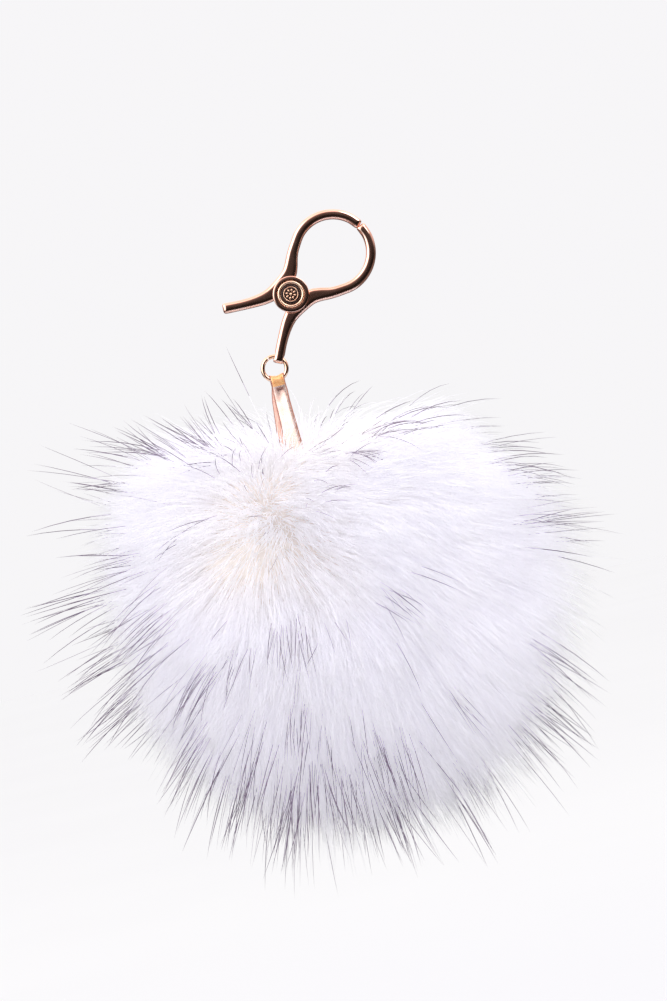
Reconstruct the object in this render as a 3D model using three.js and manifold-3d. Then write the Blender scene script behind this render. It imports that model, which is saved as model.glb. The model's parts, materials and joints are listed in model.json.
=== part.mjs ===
// Plush keychain: a rose-gold spring clasp, a jump ring, a folded leather strap and a
// long-pile faux-fur ball that hangs from it.
// Millimetres, +Z up, front faces -Y. The origin is the centre of the clasp's loop, where a bag
// handle or a key ring goes through. The ball hangs plumb below the jump ring.
import * as THREE from "three";
import { mergeVertices } from "three/addons/utils/BufferGeometryUtils.js";
import Module from "manifold-3d";

const { degToRad } = THREE.MathUtils;

// ---- Driving dimensions -------------------------------------------------------------------

const GAP = 0.3; // running clearance between pieces that touch or slide

const CLIP = {
  lean: degToRad(33), // direction from the hub to the loop, above +X
  loopRadius: 10.5, // centreline of the round loop
  hubToLoop: 16.3, // hub centre to loop centre
  depth: 3.0, // thickness of both arms along Y
  bevel: 0.6, // rounding of the arms' long edges
  jawGap: 0.5, // space between the closed jaw tips
  // The arm from the horn's tip to the loop, hub at the origin: along, aside, width.
  line: [
    [-15.7, 10.5, 2.5],
    [-9.9, 6.7, 2.5],
    [-4.7, 4.2, 3.3],
    [0, 3.6, 4.3],
    [4.0, 4.5, 3.7],
    [8.3, 7.6, 2.7],
  ],
  arcStart: degToRad(122), // where the arm joins the round loop
  arcWidth: [2.5, 2.25], // at the start of the round and at the jaw
};

const HUB = {
  knuckleRadius: 4.2,
  knuckleOuter: 2.3, // outer face of each knuckle, from the middle plane
  pocketRadius: 3.3,
  pocketDepth: 1.65,
  pinRadius: 0.9,
  boreRadius: 1.15,
  pinRoom: 0.2, // play round the pin in the bezel and the cap
  bezelRadius: 4.95,
  bezelThickness: 1.5,
  bezelCrown: 4.1, // radius of the bezel's highest line
  seatDepth: 0.75, // from the bezel's back to the medallion's seat
  seatRadius: 2.95,
  medallionRadius: 2.6,
  medallionThickness: 0.45,
  reliefHeight: 0.15,
  capRadius: 4.6,
  capThickness: 1.3,
  capRivetDepth: 0.6, // how far the pin enters the cap
};

const SPRING = { wire: 0.28, coilRadius: 2.2, turns: 3.25, length: 2.3, leg: 0.75 };

const RING = {
  radius: 3.3, // centreline
  wire: 0.575,
  eyeRadius: 1.0, // hole through the end of the lower horn
  eyeInset: 1.5, // eye centre to the end of the horn
  hang: degToRad(235), // direction from the eye to the ring's centre
  gapAt: degToRad(112), // where the ring's ends butt
  gapAngle: degToRad(5),
};

const STRAP = {
  lean: degToRad(2.2),
  foldRadius: 1.6, // outer radius of the fold round the ring
  foldWidth: 3.9,
  neckWidth: 4.6, // just under the fold
  neckDrop: 1.5, // from the fold's crease to the neck width
  endWidth: 5.6,
  thickness: 2.3, // two plies, glued and sewn
  length: 28.5, // ring centre to the sewn-in end
  stitchRow: 5.8, // ring centre to the bar tack, just under the fold
  stitchInset: 1.0, // from the strap's edge to the tack
  threadRadius: 0.25,
};

const POM = {
  coreDrop: 59.2, // ring centre to the middle of the stuffed core
  stuffingRadius: 30,
  backingThickness: 0.8,
  neckRadius: 3.5, // gathered opening of the knitted backing
  neckThread: 0.4,
  funnelAngle: degToRad(36), // half angle of the parting in the pile round the strap
  funnelHeight: 26,
  pileWidth: 144,
  pileDepth: 140,
  pileHeight: 130,
  pileDrop: 75.5, // ring centre to the middle of the pile
};

const STEPS = { ring: 32, sphereAround: 32, sphereDown: 20, pileAround: 36, pileDown: 22, arm: 38 };

// ---- Materials ----------------------------------------------------------------------------

function material(color, roughness, metalness) {
  return new THREE.MeshStandardMaterial({ color, roughness, metalness });
}

const MATERIALS = {
  roseGold: material(0xd9a08c, 0.18, 1),
  brightGold: material(0xf0c8a0, 0.15, 1),
  darkEnamel: material(0x2a1a18, 0.25, 0.6),
  springSteel: material(0xa9adb0, 0.35, 1),
  metallicLeather: material(0xe5b3a2, 0.35, 0.5),
  sewingThread: material(0xc98f7c, 0.8, 0),
  knittedBacking: material(0xe9e2da, 0.9, 0),
  polyesterFill: material(0xf6f5f2, 0.95, 0),
  fauxFur: material(0xf1eff5, 0.95, 0),
};

// ---- Solid tools --------------------------------------------------------------------------

const wasm = await Module();
wasm.setup();

function solid(geometry) {
  const bare = geometry.clone();
  bare.deleteAttribute("normal");
  bare.deleteAttribute("uv");
  const merged = mergeVertices(bare, 1e-4);
  return new wasm.Manifold(
    new wasm.Mesh({
      numProp: 3,
      vertProperties: merged.attributes.position.array,
      triVerts: new Uint32Array(merged.index.array),
    }),
  );
}

function geometryOf(body) {
  const made = body.getMesh();
  const geometry = new THREE.BufferGeometry();
  geometry.setAttribute("position", new THREE.BufferAttribute(made.vertProperties, made.numProp));
  geometry.setIndex(new THREE.BufferAttribute(made.triVerts, 1));
  geometry.computeVertexNormals();
  return geometry;
}

function addPiece(group, name, body, look) {
  const mesh = new THREE.Mesh(geometryOf(body), look);
  mesh.name = name;
  group.add(mesh);
}

// A disc or drum along Y, between two Y values.
function drum(radius, from, to, steps = STEPS.ring) {
  const geometry = new THREE.CylinderGeometry(radius, radius, to - from, steps);
  return solid(geometry.translate(0, (from + to) / 2, 0));
}

// A turned piece about Y: [radius, y] corners, closed on itself or on the axis.
function turned(profile, steps = STEPS.ring) {
  const area = THREE.ShapeUtils.area(profile.map(([x, y]) => new THREE.Vector2(x, y)));
  const points = (area > 0 ? profile : [...profile].reverse()).map(
    ([x, y]) => new THREE.Vector2(x, y),
  );
  if (points.every((p) => p.x > 0)) points.push(points[0].clone());
  return solid(new THREE.LatheGeometry(points, steps));
}

class PathCurve extends THREE.Curve {
  constructor(at) {
    super();
    this.at = at;
  }
  getPoint(t, target = new THREE.Vector3()) {
    return target.copy(this.at(t));
  }
}

// A round wire along a curve.
function wire(curve, radius, steps, sides = 10) {
  const section = new THREE.Shape();
  section.absarc(0, 0, radius, 0, 2 * Math.PI);
  return solid(
    new THREE.ExtrudeGeometry(section, {
      steps,
      curveSegments: sides / 2,
      extrudePath: curve,
    }),
  );
}

// A point in the XZ plane, at an angle from +X towards +Z.
function polar(angle, radius) {
  return new THREE.Vector3(radius * Math.cos(angle), 0, radius * Math.sin(angle));
}

// An outline drawn in X and Z, made thick along Y about the middle plane.
function plate(shape, thickness, bevel = 0) {
  const geometry = new THREE.ExtrudeGeometry(shape, {
    depth: thickness - 2 * bevel,
    bevelEnabled: bevel > 0,
    bevelSize: bevel,
    bevelThickness: bevel,
    bevelOffset: -bevel,
    bevelSegments: 2,
    curveSegments: 16,
  });
  geometry.translate(0, 0, bevel - thickness / 2);
  return solid(geometry.rotateX(Math.PI / 2));
}

// ---- Clasp --------------------------------------------------------------------------------
// Drawn with the hub at the origin and the loop towards +X, then leaned as a group.

// The centreline of the upper arm from horn to jaw: x, z and the arm's width at that point.
function armCentreline() {
  const { line, arcStart, arcWidth, loopRadius, hubToLoop, jawGap } = CLIP;
  const points = line.map(([along, aside, width]) => new THREE.Vector3(along, aside, width));
  const arcEnd = jawGap / 2 / loopRadius;
  const arcSteps = 7;
  for (let i = 0; i <= arcSteps; i++) {
    const angle = THREE.MathUtils.lerp(arcStart, arcEnd, i / arcSteps);
    points.push(
      new THREE.Vector3(
        hubToLoop + loopRadius * Math.cos(angle),
        loopRadius * Math.sin(angle),
        THREE.MathUtils.lerp(...arcWidth, i / arcSteps),
      ),
    );
  }
  return new THREE.CatmullRomCurve3(points, false, "centripetal");
}

// The outline of one arm: its centreline, offset by half its width on both sides.
function armShape(side) {
  const curve = armCentreline();
  const left = [];
  const right = [];
  for (let i = 0; i <= STEPS.arm; i++) {
    const point = curve.getPoint(i / STEPS.arm);
    const ahead = curve.getTangent(i / STEPS.arm).setZ(0).normalize();
    const half = point.z / 2;
    left.push(new THREE.Vector2(point.x - ahead.y * half, (point.y + ahead.x * half) * side));
    right.push(new THREE.Vector2(point.x + ahead.y * half, (point.y - ahead.x * half) * side));
  }
  return new THREE.Shape([...left, ...right.reverse()]);
}

// One arm with its knuckle. face is -1 for the arm whose knuckle is in front, 1 for the rear one.
function arm(side, face) {
  const span = (near, far) => [Math.min(face * near, face * far), Math.max(face * near, face * far)];
  const { knuckleRadius, knuckleOuter, pocketRadius, pocketDepth, boreRadius } = HUB;
  return plate(armShape(side), CLIP.depth, CLIP.bevel)
    .subtract(drum(knuckleRadius + GAP, ...span(-knuckleOuter - GAP, GAP / 2)))
    .add(drum(knuckleRadius, ...span(GAP / 2, knuckleOuter)))
    .subtract(drum(pocketRadius, ...span(0, pocketDepth)))
    .subtract(drum(boreRadius, ...span(0, knuckleOuter + GAP)));
}

// The middle of the eye, its end of the lower horn, and the direction that the horn ends in.
function eyeOfLowerHorn() {
  const curve = armCentreline();
  const tip = curve.getPoint(0);
  const inward = curve.getTangent(0).setZ(0).normalize();
  const eye = tip.clone().setZ(0).addScaledVector(inward, RING.eyeInset);
  return new THREE.Vector3(eye.x, 0, -eye.y);
}

function upperArm() {
  return arm(1, -1);
}

// The lower arm is the same shape turned over, with the ring's eye drilled through its horn.
function lowerArm() {
  const bore = new THREE.CylinderGeometry(RING.eyeRadius, RING.eyeRadius, 8, 20);
  bore.rotateZ(Math.PI / 2);
  bore.rotateY(-(RING.hang - Math.PI / 2 - CLIP.lean));
  const eye = eyeOfLowerHorn();
  return arm(-1, 1).subtract(solid(bore.translate(eye.x, eye.y, eye.z)));
}

function pivotPin() {
  const reach = HUB.knuckleOuter + 2.2 * GAP;
  return drum(HUB.pinRadius, -reach, reach, 20);
}

// Coils round the pin; each end runs out radially to push on its own knuckle.
function torsionSpring() {
  const { wire: radius, coilRadius, turns, length, leg } = SPRING;
  const coil = (t) =>
    new THREE.Vector3(
      coilRadius * Math.cos(2 * Math.PI * turns * t),
      length * (t - 0.5),
      coilRadius * Math.sin(2 * Math.PI * turns * t),
    );
  const legShare = 0.06;
  const at = (t) => {
    const along = THREE.MathUtils.clamp((t - legShare) / (1 - 2 * legShare), 0, 1);
    const beyond = Math.max(legShare - t, t - 1 + legShare, 0) / legShare;
    const point = coil(along);
    const stretch = (coilRadius + leg * beyond) / coilRadius;
    return point.set(point.x * stretch, point.y, point.z * stretch);
  };
  return wire(new PathCurve(at), radius, 62, 8);
}

// Polished round rim, a bright step inside it and a seat for the medallion.
function hubBezel() {
  const back = -HUB.knuckleOuter - GAP;
  const front = back - HUB.bezelThickness;
  const seat = back - HUB.seatDepth;
  const shoulder = back - HUB.bezelThickness / 2;
  const { bezelRadius: outer, bezelCrown: crown, seatRadius } = HUB;
  const bore = HUB.pinRadius + HUB.pinRoom;
  const profile = [
    [bore, back],
    [outer - 0.3, back],
    [outer, back - 0.4],
    [outer, shoulder],
  ];
  const rimSteps = 4;
  for (let i = 1; i <= rimSteps; i++) {
    const turn = (i / rimSteps) * (Math.PI / 2);
    const across = crown + (outer - crown) * Math.cos(turn);
    profile.push([across, THREE.MathUtils.lerp(shoulder, front, Math.sin(turn))]);
  }
  profile.push([seatRadius + 0.6, front + 0.25], [seatRadius + 0.05, front + 0.35]);
  profile.push([seatRadius, seat], [bore, seat]);
  return turned(profile);
}

// A small disc with a generic ring-and-dot relief.
function frontMedallion() {
  const { medallionRadius, medallionThickness, reliefHeight } = HUB;
  const back = -HUB.knuckleOuter - GAP - HUB.seatDepth - GAP / 2;
  const front = back - medallionThickness;
  const ground = front + reliefHeight;
  return turned([
    [0, back],
    [medallionRadius - 0.1, back],
    [medallionRadius, back - 0.1],
    [medallionRadius - 0.1, ground],
    [1.9, ground],
    [1.75, front],
    [1.35, front],
    [1.2, ground],
    [0.7, ground],
    [0.5, front],
    [0, front - 0.06],
  ]);
}

// A flat-backed cap that the pin is riveted into from inside.
function rearCap() {
  const inner = HUB.knuckleOuter + GAP;
  const outer = inner + HUB.capThickness;
  const bore = HUB.pinRadius + HUB.pinRoom;
  return turned([
    [0, inner + HUB.capRivetDepth],
    [bore, inner + HUB.capRivetDepth],
    [bore, inner],
    [HUB.capRadius - 0.2, inner],
    [HUB.capRadius, inner + 0.3],
    [HUB.capRadius, outer - 0.4],
    [HUB.capRadius - 0.4, outer],
    [0, outer],
  ]);
}

function buildClasp(group) {
  addPiece(group, "clip_arm_lower", lowerArm(), MATERIALS.roseGold);
  addPiece(group, "clip_arm_upper", upperArm(), MATERIALS.roseGold);
  addPiece(group, "pivot_pin", pivotPin(), MATERIALS.springSteel);
  addPiece(group, "torsion_spring", torsionSpring(), MATERIALS.springSteel);
  addPiece(group, "hub_bezel", hubBezel(), MATERIALS.brightGold);
  addPiece(group, "front_medallion", frontMedallion(), MATERIALS.darkEnamel);
  addPiece(group, "rear_cap", rearCap(), MATERIALS.roseGold);
}

// ---- Jump ring ----------------------------------------------------------------------------
// Drawn about its own centre.

function ringArc(radius, wireRadius, from, to, steps) {
  const curve = new PathCurve((t) => polar(from + (to - from) * t, radius));
  return wire(curve, wireRadius, steps, 10);
}

function jumpRing() {
  const { radius, wire: wireRadius, gapAt, gapAngle } = RING;
  return ringArc(radius, wireRadius, gapAt + gapAngle / 2, gapAt + 2 * Math.PI - gapAngle / 2, 32);
}

// ---- Strap --------------------------------------------------------------------------------
// Drawn with the ring's centre at the origin, hanging down, then leaned as a group.

// A strip folded over the ring: the side profile and the front outline, crossed.
function strap() {
  const { foldRadius, thickness, length } = STRAP;
  const half = thickness / 2;
  const meet = Math.asin(half / foldRadius);
  const side = new THREE.Shape();
  side.moveTo(half, -length);
  side.absarc(0, -RING.radius, foldRadius, -Math.PI / 2 + meet, 1.5 * Math.PI - meet);
  side.lineTo(-half, -length);
  const profile = plate(side, 2 * STRAP.endWidth);
  const across = solid(geometryOf(profile).rotateZ(Math.PI / 2));

  const front = new THREE.Shape();
  const crease = -RING.radius - foldRadius;
  front.moveTo(-STRAP.foldWidth / 2, 0);
  front.lineTo(-STRAP.foldWidth / 2, crease);
  front.lineTo(-STRAP.neckWidth / 2, crease - STRAP.neckDrop);
  front.lineTo(-STRAP.endWidth / 2, -length);
  front.lineTo(STRAP.endWidth / 2, -length);
  front.lineTo(STRAP.neckWidth / 2, crease - STRAP.neckDrop);
  front.lineTo(STRAP.foldWidth / 2, crease);
  front.lineTo(STRAP.foldWidth / 2, 0);
  const outline = plate(front, 4 * foldRadius);

  const ringRoom = ringArc(RING.radius, RING.wire + GAP, -Math.PI, 0, 24);
  const stitchRoom = stitchLoop(GAP * 0.6);
  return across.intersect(outline).subtract(ringRoom).subtract(stitchRoom);
}

// The bar tack's run of thread: through both plies and back over each face.
function stitchLoop(extra) {
  const reachX = STRAP.neckWidth / 2 - STRAP.stitchInset;
  const reachY = STRAP.thickness / 2;
  const radius = STRAP.threadRadius;
  const corners = [
    [-reachX, -reachY],
    [reachX, -reachY],
    [reachX, reachY],
    [-reachX, reachY],
  ];
  const runs = corners.map(([x, y], i) => {
    const [nextX, nextY] = corners[(i + 1) % corners.length];
    const length = Math.hypot(nextX - x, nextY - y) + 2 * radius;
    const alongX = Math.abs(nextX - x) > Math.abs(nextY - y);
    const size = 2 * (radius + extra);
    const long = length + 2 * extra;
    const box = new THREE.BoxGeometry(alongX ? long : size, alongX ? size : long, size);
    return solid(box.translate((x + nextX) / 2, (y + nextY) / 2, -STRAP.stitchRow));
  });
  return runs.reduce((all, run) => all.add(run));
}

function buildStrap(group) {
  addPiece(group, "strap", strap(), MATERIALS.metallicLeather);
  addPiece(group, "strap_stitch", stitchLoop(0), MATERIALS.sewingThread);
}

// ---- Fur ball -----------------------------------------------------------------------------
// Drawn with the ring's centre at the origin. Its balance point is straight below the ring.

function ball(radius, around = STEPS.sphereAround, down = STEPS.sphereDown) {
  const geometry = new THREE.SphereGeometry(radius, around, down);
  return geometry.rotateX(Math.PI / 2);
}

function coreBall(radius) {
  return solid(ball(radius).translate(0, 0, -POM.coreDrop));
}

// Where the leaning strap enters the gathered neck.
function neckPoint() {
  const backingRadius = POM.stuffingRadius + GAP + POM.backingThickness;
  const height = -POM.coreDrop + backingRadius;
  return new THREE.Vector3(-height * Math.tan(STRAP.lean), 0, height);
}

// An upright hole at the neck, from one height to another, relative to the neck.
function neckHole(radius, from, to, widerBy = 0) {
  const geometry = new THREE.CylinderGeometry(radius + widerBy, radius, to - from, STEPS.ring);
  geometry.rotateX(Math.PI / 2);
  const neck = neckPoint();
  return solid(geometry.translate(neck.x, 0, neck.z + (from + to) / 2));
}

function stuffingBall() {
  return coreBall(POM.stuffingRadius).subtract(neckHole(POM.neckRadius + 0.5, -5, 5));
}

function furBacking() {
  const inner = POM.stuffingRadius + GAP;
  return coreBall(inner + POM.backingThickness)
    .subtract(coreBall(inner))
    .subtract(neckHole(POM.neckRadius, -5, 5));
}

// The drawn-up thread lies on the backing round its neck.
function gatherThread() {
  const radius = POM.neckRadius + 3 * POM.neckThread;
  const neck = neckPoint();
  const height = neck.z + POM.neckThread + GAP / 2;
  const knot = degToRad(4);
  const at = (t) => {
    const angle = knot + (2 * Math.PI - 2 * knot) * t;
    return new THREE.Vector3(neck.x + radius * Math.cos(angle), radius * Math.sin(angle), height);
  };
  return wire(new PathCurve(at), POM.neckThread, 32, 8);
}

// The pile's outer shape, hollow for the backing, and parted round the strap.
function furPile() {
  const outer = ball(1, STEPS.pileAround, STEPS.pileDown)
    .scale(POM.pileWidth / 2, POM.pileDepth / 2, POM.pileHeight / 2)
    .translate(0, 0, -POM.pileDrop);
  const start = POM.neckRadius + 6 * POM.neckThread;
  const rise = POM.funnelHeight;
  return solid(outer)
    .subtract(coreBall(POM.stuffingRadius + 2 * GAP + POM.backingThickness))
    .subtract(neckHole(start, -2, rise - 2, rise * Math.tan(POM.funnelAngle)));
}

function buildPom(group) {
  addPiece(group, "stuffing_ball", stuffingBall(), MATERIALS.polyesterFill);
  addPiece(group, "fur_backing", furBacking(), MATERIALS.knittedBacking);
  addPiece(group, "gather_thread", gatherThread(), MATERIALS.sewingThread);
  addPiece(group, "fur_pile", furPile(), MATERIALS.fauxFur);
}

// ---- Assembly -----------------------------------------------------------------------------

const keychain = new THREE.Group();

const clasp = new THREE.Group();
clasp.rotation.y = -CLIP.lean;
clasp.position.copy(polar(CLIP.lean, -CLIP.hubToLoop));
buildClasp(clasp);
keychain.add(clasp);

const eye = eyeOfLowerHorn().applyEuler(clasp.rotation).add(clasp.position);
const ringCentre = eye.clone().add(polar(RING.hang, RING.radius));

const below = new THREE.Group();
below.position.copy(ringCentre);
keychain.add(below);
addPiece(below, "jump_ring", jumpRing(), MATERIALS.brightGold);
buildPom(below);

const leaningStrap = new THREE.Group();
leaningStrap.rotation.y = -STRAP.lean;
below.add(leaningStrap);
buildStrap(leaningStrap);

export default keychain;
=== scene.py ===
"""Looks of the plush keychain: a rose-gold spring clasp, jump ring and metallic leather strap, and a ball
of long white faux fur with dark-tipped guard hairs. Hair is modelled strand by strand as closed meshes."""

import json
import math

import bmesh
import bpy
import numpy as np
from mathutils import Matrix, Vector

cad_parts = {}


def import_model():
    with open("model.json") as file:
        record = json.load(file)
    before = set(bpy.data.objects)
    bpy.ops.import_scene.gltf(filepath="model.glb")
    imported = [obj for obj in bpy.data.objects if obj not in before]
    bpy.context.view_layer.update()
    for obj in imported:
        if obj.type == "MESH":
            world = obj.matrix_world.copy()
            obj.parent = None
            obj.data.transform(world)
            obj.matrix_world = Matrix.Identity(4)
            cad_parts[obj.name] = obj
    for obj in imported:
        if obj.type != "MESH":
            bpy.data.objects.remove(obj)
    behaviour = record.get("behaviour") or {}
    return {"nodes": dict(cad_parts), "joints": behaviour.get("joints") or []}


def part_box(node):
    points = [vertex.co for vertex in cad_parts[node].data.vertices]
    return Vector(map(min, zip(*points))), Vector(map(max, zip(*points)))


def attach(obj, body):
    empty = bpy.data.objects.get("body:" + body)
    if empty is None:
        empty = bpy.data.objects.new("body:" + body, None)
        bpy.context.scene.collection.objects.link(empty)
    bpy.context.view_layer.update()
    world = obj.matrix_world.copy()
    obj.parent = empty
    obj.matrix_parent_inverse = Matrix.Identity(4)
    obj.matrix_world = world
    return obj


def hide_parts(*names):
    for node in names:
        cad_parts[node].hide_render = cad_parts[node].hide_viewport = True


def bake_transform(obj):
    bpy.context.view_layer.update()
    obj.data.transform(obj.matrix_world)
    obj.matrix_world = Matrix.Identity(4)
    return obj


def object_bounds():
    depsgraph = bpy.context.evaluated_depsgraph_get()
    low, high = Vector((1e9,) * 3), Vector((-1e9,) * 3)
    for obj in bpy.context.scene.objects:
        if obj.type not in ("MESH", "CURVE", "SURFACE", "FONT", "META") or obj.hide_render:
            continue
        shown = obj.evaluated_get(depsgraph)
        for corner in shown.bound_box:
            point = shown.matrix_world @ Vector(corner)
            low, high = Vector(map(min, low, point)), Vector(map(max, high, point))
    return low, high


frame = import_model()
CAD_LOW, CAD_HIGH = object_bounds()

MM = 0.001
SEED = 7
JOINTS = {j["name"]: j for j in frame["joints"]}


def joint_point(name):
    """A hinge's point, in millimetres."""
    return np.array(JOINTS[name]["pos_m"]) / MM


def node_box(name):
    """A CAD node's lowest and highest corner, in millimetres."""
    low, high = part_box(name)
    return np.array(low) / MM, np.array(high) / MM


HUB = joint_point("clasp_open")
RING_CENTRE = joint_point("strap_swing")
NECK = joint_point("pom_flex")
BACKING_LOW, BACKING_HIGH = node_box("fur_backing")
BALL_RADIUS = (BACKING_HIGH[0] - BACKING_LOW[0]) / 2
CORE = np.array([(BACKING_LOW[0] + BACKING_HIGH[0]) / 2, 0, BACKING_LOW[2] + BALL_RADIUS])


# ---- Mesh helpers ---------------------------------------------------------------------------


def add_object(name, data):
    """A new object in the scene."""
    made = bpy.data.objects.new(name, data)
    bpy.context.scene.collection.objects.link(made)
    return made


def mesh_object(name, vertices, faces):
    """A smooth object from vertices in millimetres and faces of equal or mixed size."""
    mesh = bpy.data.meshes.new(name)
    mesh.from_pydata([tuple(v) for v in np.asarray(vertices) * MM], [], [tuple(f) for f in faces])
    mesh.polygons.foreach_set("use_smooth", [True] * len(mesh.polygons))
    mesh.update()
    return add_object(name, mesh)


def triangle_object(name, vertices, triangles):
    """An object from large arrays of vertices, in millimetres, and triangles."""
    mesh = bpy.data.meshes.new(name)
    mesh.vertices.add(len(vertices))
    mesh.vertices.foreach_set("co", (vertices * MM).astype(np.float32).ravel())
    mesh.loops.add(triangles.size)
    mesh.loops.foreach_set("vertex_index", triangles.astype(np.int32).ravel())
    mesh.polygons.add(len(triangles))
    mesh.polygons.foreach_set("loop_start", np.arange(0, triangles.size, 3, dtype=np.int32))
    mesh.polygons.foreach_set("use_smooth", np.ones(len(triangles), bool))
    mesh.update(calc_edges=True)
    return add_object(name, mesh)


def ring_faces(rows, around, start=0, wrap=False, inward=False):
    """Quads between rows of corners, each row a closed ring. With wrap the last row joins the first."""
    faces = []
    for row in range(rows if wrap else rows - 1):
        a, b = start + row * around, start + (row + 1) % rows * around
        for j in range(around):
            n = (j + 1) % around
            faces.append((a + j, b + j, b + n, a + n) if inward else (a + j, a + n, b + n, b + j))
    return faces


def merge_corners(piece, outward=False):
    """Merges corners that meet in a point and drops the empty faces that this leaves."""
    clean = bmesh.new()
    clean.from_mesh(piece.data)
    bmesh.ops.remove_doubles(clean, verts=clean.verts, dist=1e-7)
    bmesh.ops.dissolve_degenerate(clean, edges=clean.edges, dist=1e-8)
    if outward:
        bmesh.ops.recalc_face_normals(clean, faces=clean.faces)
    clean.to_mesh(piece.data)
    clean.free()


def smooth_faces(piece):
    piece.data.polygons.foreach_set("use_smooth", [True] * len(piece.data.polygons))


def box_radius(low, high):
    """Half the breadth of a round node, across the hub's or the ring's axis."""
    return (high[0] - low[0]) / 2


def unit(v):
    return v / np.maximum(np.linalg.norm(v, axis=-1, keepdims=True), 1e-9)


def finish_piece(piece, material, body, slot, *nodes):
    """Gives a piece its material and body, and hides the CAD nodes that it stands for. The slot is not used.
    """
    piece.data.materials.clear()
    piece.data.materials.append(material)
    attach(piece, body)
    if nodes:
        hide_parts(*nodes)


def apply_modifiers(piece):
    """Turns a piece's modifiers into its mesh."""
    graph = bpy.context.evaluated_depsgraph_get()
    made = bpy.data.meshes.new_from_object(piece.evaluated_get(graph))
    piece.modifiers.clear()
    piece.data = made


# ---- Materials ------------------------------------------------------------------------------

MIX_FIRST, MIX_SECOND, MIX_RESULT = 6, 7, 2  # a Mix node's sockets when it mixes colours


class Material:
    """A Principled material with short calls for the nodes that feed it."""

    def __init__(self, name, **sockets):
        self.material = bpy.data.materials.new(name)
        self.material.use_nodes = True
        self.tree = self.material.node_tree
        self.shader = self.tree.nodes["Principled BSDF"]
        self.coordinates = self.node("ShaderNodeTexCoord").outputs["Object"]
        for key, value in sockets.items():
            self.shader.inputs[key.replace("_", " ")].default_value = value

    def node(self, kind, **properties):
        made = self.tree.nodes.new(kind)
        for key, value in properties.items():
            setattr(made, key, value)
        return made

    def link(self, source, target):
        self.tree.links.new(source, target)

    def stretched(self, scale):
        mapping = self.node("ShaderNodeMapping")
        mapping.inputs["Scale"].default_value = scale
        self.link(self.coordinates, mapping.inputs["Vector"])
        return mapping.outputs["Vector"]

    def noise(self, per_mm, detail=4.0, scale=(1, 1, 1)):
        """Noise with so many features a millimetre."""
        made = self.node("ShaderNodeTexNoise")
        made.inputs["Scale"].default_value = per_mm / MM
        made.inputs["Detail"].default_value = detail
        self.link(self.stretched(scale), made.inputs["Vector"])
        return made.outputs["Fac"]

    def ramp(self, source, *stops):
        made = self.node("ShaderNodeValToRGB")
        elements = made.color_ramp.elements
        while len(elements) < len(stops):
            elements.new(0.5)
        for element, (place, colour) in zip(elements, stops):
            element.position = place
            element.color = (*colour, 1)
        self.link(source, made.inputs["Fac"])
        return made.outputs["Color"]

    def spread(self, source, low, high):
        """Noise, which stays between about 0.3 and 0.7, spread from low to high."""
        made = self.node("ShaderNodeMapRange")
        made.inputs["From Min"].default_value = 0.3
        made.inputs["From Max"].default_value = 0.7
        made.inputs["To Min"].default_value = low
        made.inputs["To Max"].default_value = high
        self.link(source, made.inputs["Value"])
        return made.outputs["Result"]

    def height(self, low_mm, high_mm):
        """0 to 1 with the distance from the middle of the ball."""
        offset = self.node("ShaderNodeVectorMath", operation="DISTANCE")
        offset.inputs[1].default_value = CORE * MM
        self.link(self.coordinates, offset.inputs[0])
        made = self.node("ShaderNodeMapRange", interpolation_type="SMOOTHSTEP")
        made.inputs["From Min"].default_value = low_mm * MM
        made.inputs["From Max"].default_value = high_mm * MM
        self.link(offset.outputs["Value"], made.inputs["Value"])
        return made.outputs["Result"]

    def mixed(self, factor, first, second):
        """From the plain colour first to the linked colour second."""
        made = self.node("ShaderNodeMix", data_type="RGBA")
        self.link(factor, made.inputs["Factor"])
        made.inputs[MIX_FIRST].default_value = (*first, 1)
        self.link(second, made.inputs[MIX_SECOND])
        return made.outputs[MIX_RESULT]

    def bump(self, source, height_mm, strength=0.6):
        made = self.node("ShaderNodeBump")
        made.inputs["Strength"].default_value = strength
        made.inputs["Distance"].default_value = height_mm * MM
        self.link(source, made.inputs["Height"])
        self.link(made.outputs["Normal"], self.shader.inputs["Normal"])

    def colour(self, source):
        self.link(source, self.shader.inputs["Base Color"])

    def roughness(self, source):
        self.link(source, self.shader.inputs["Roughness"])


def plated_metal(name, bright, deep, rough):
    """Polished plating over a casting: slow colour drift, faint hairline wear and a soft cast ripple."""
    look = Material(name, Metallic=1.0)
    look.colour(look.ramp(look.noise(0.25, 3), (0.35, deep), (0.65, bright)))
    look.roughness(look.spread(look.noise(1.6, 6, (1, 1, 0.3)), rough * 0.7, rough * 1.6))
    look.bump(look.noise(0.5, 2), 0.02, 0.12)
    return look.material


def enamel():
    look = Material("dark_enamel", Metallic=0.35, Coat_Weight=0.8, Coat_Roughness=0.06)
    look.colour(look.ramp(look.noise(1.2, 3), (0.3, (0.020, 0.011, 0.010)), (0.7, (0.055, 0.030, 0.026))))
    look.roughness(look.spread(look.noise(3.0, 4), 0.12, 0.3))
    look.bump(look.noise(2.5, 2), 0.01, 0.2)
    return look.material


def spring_steel():
    look = Material("spring_steel", Metallic=1.0)
    look.colour(look.ramp(look.noise(2.0, 3), (0.3, (0.36, 0.36, 0.38)), (0.7, (0.62, 0.62, 0.64))))
    look.roughness(look.spread(look.noise(5.0, 4, (1, 6, 1)), 0.22, 0.42))
    look.bump(look.noise(6.0, 2, (1, 8, 1)), 0.01, 0.3)
    return look.material


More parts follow.
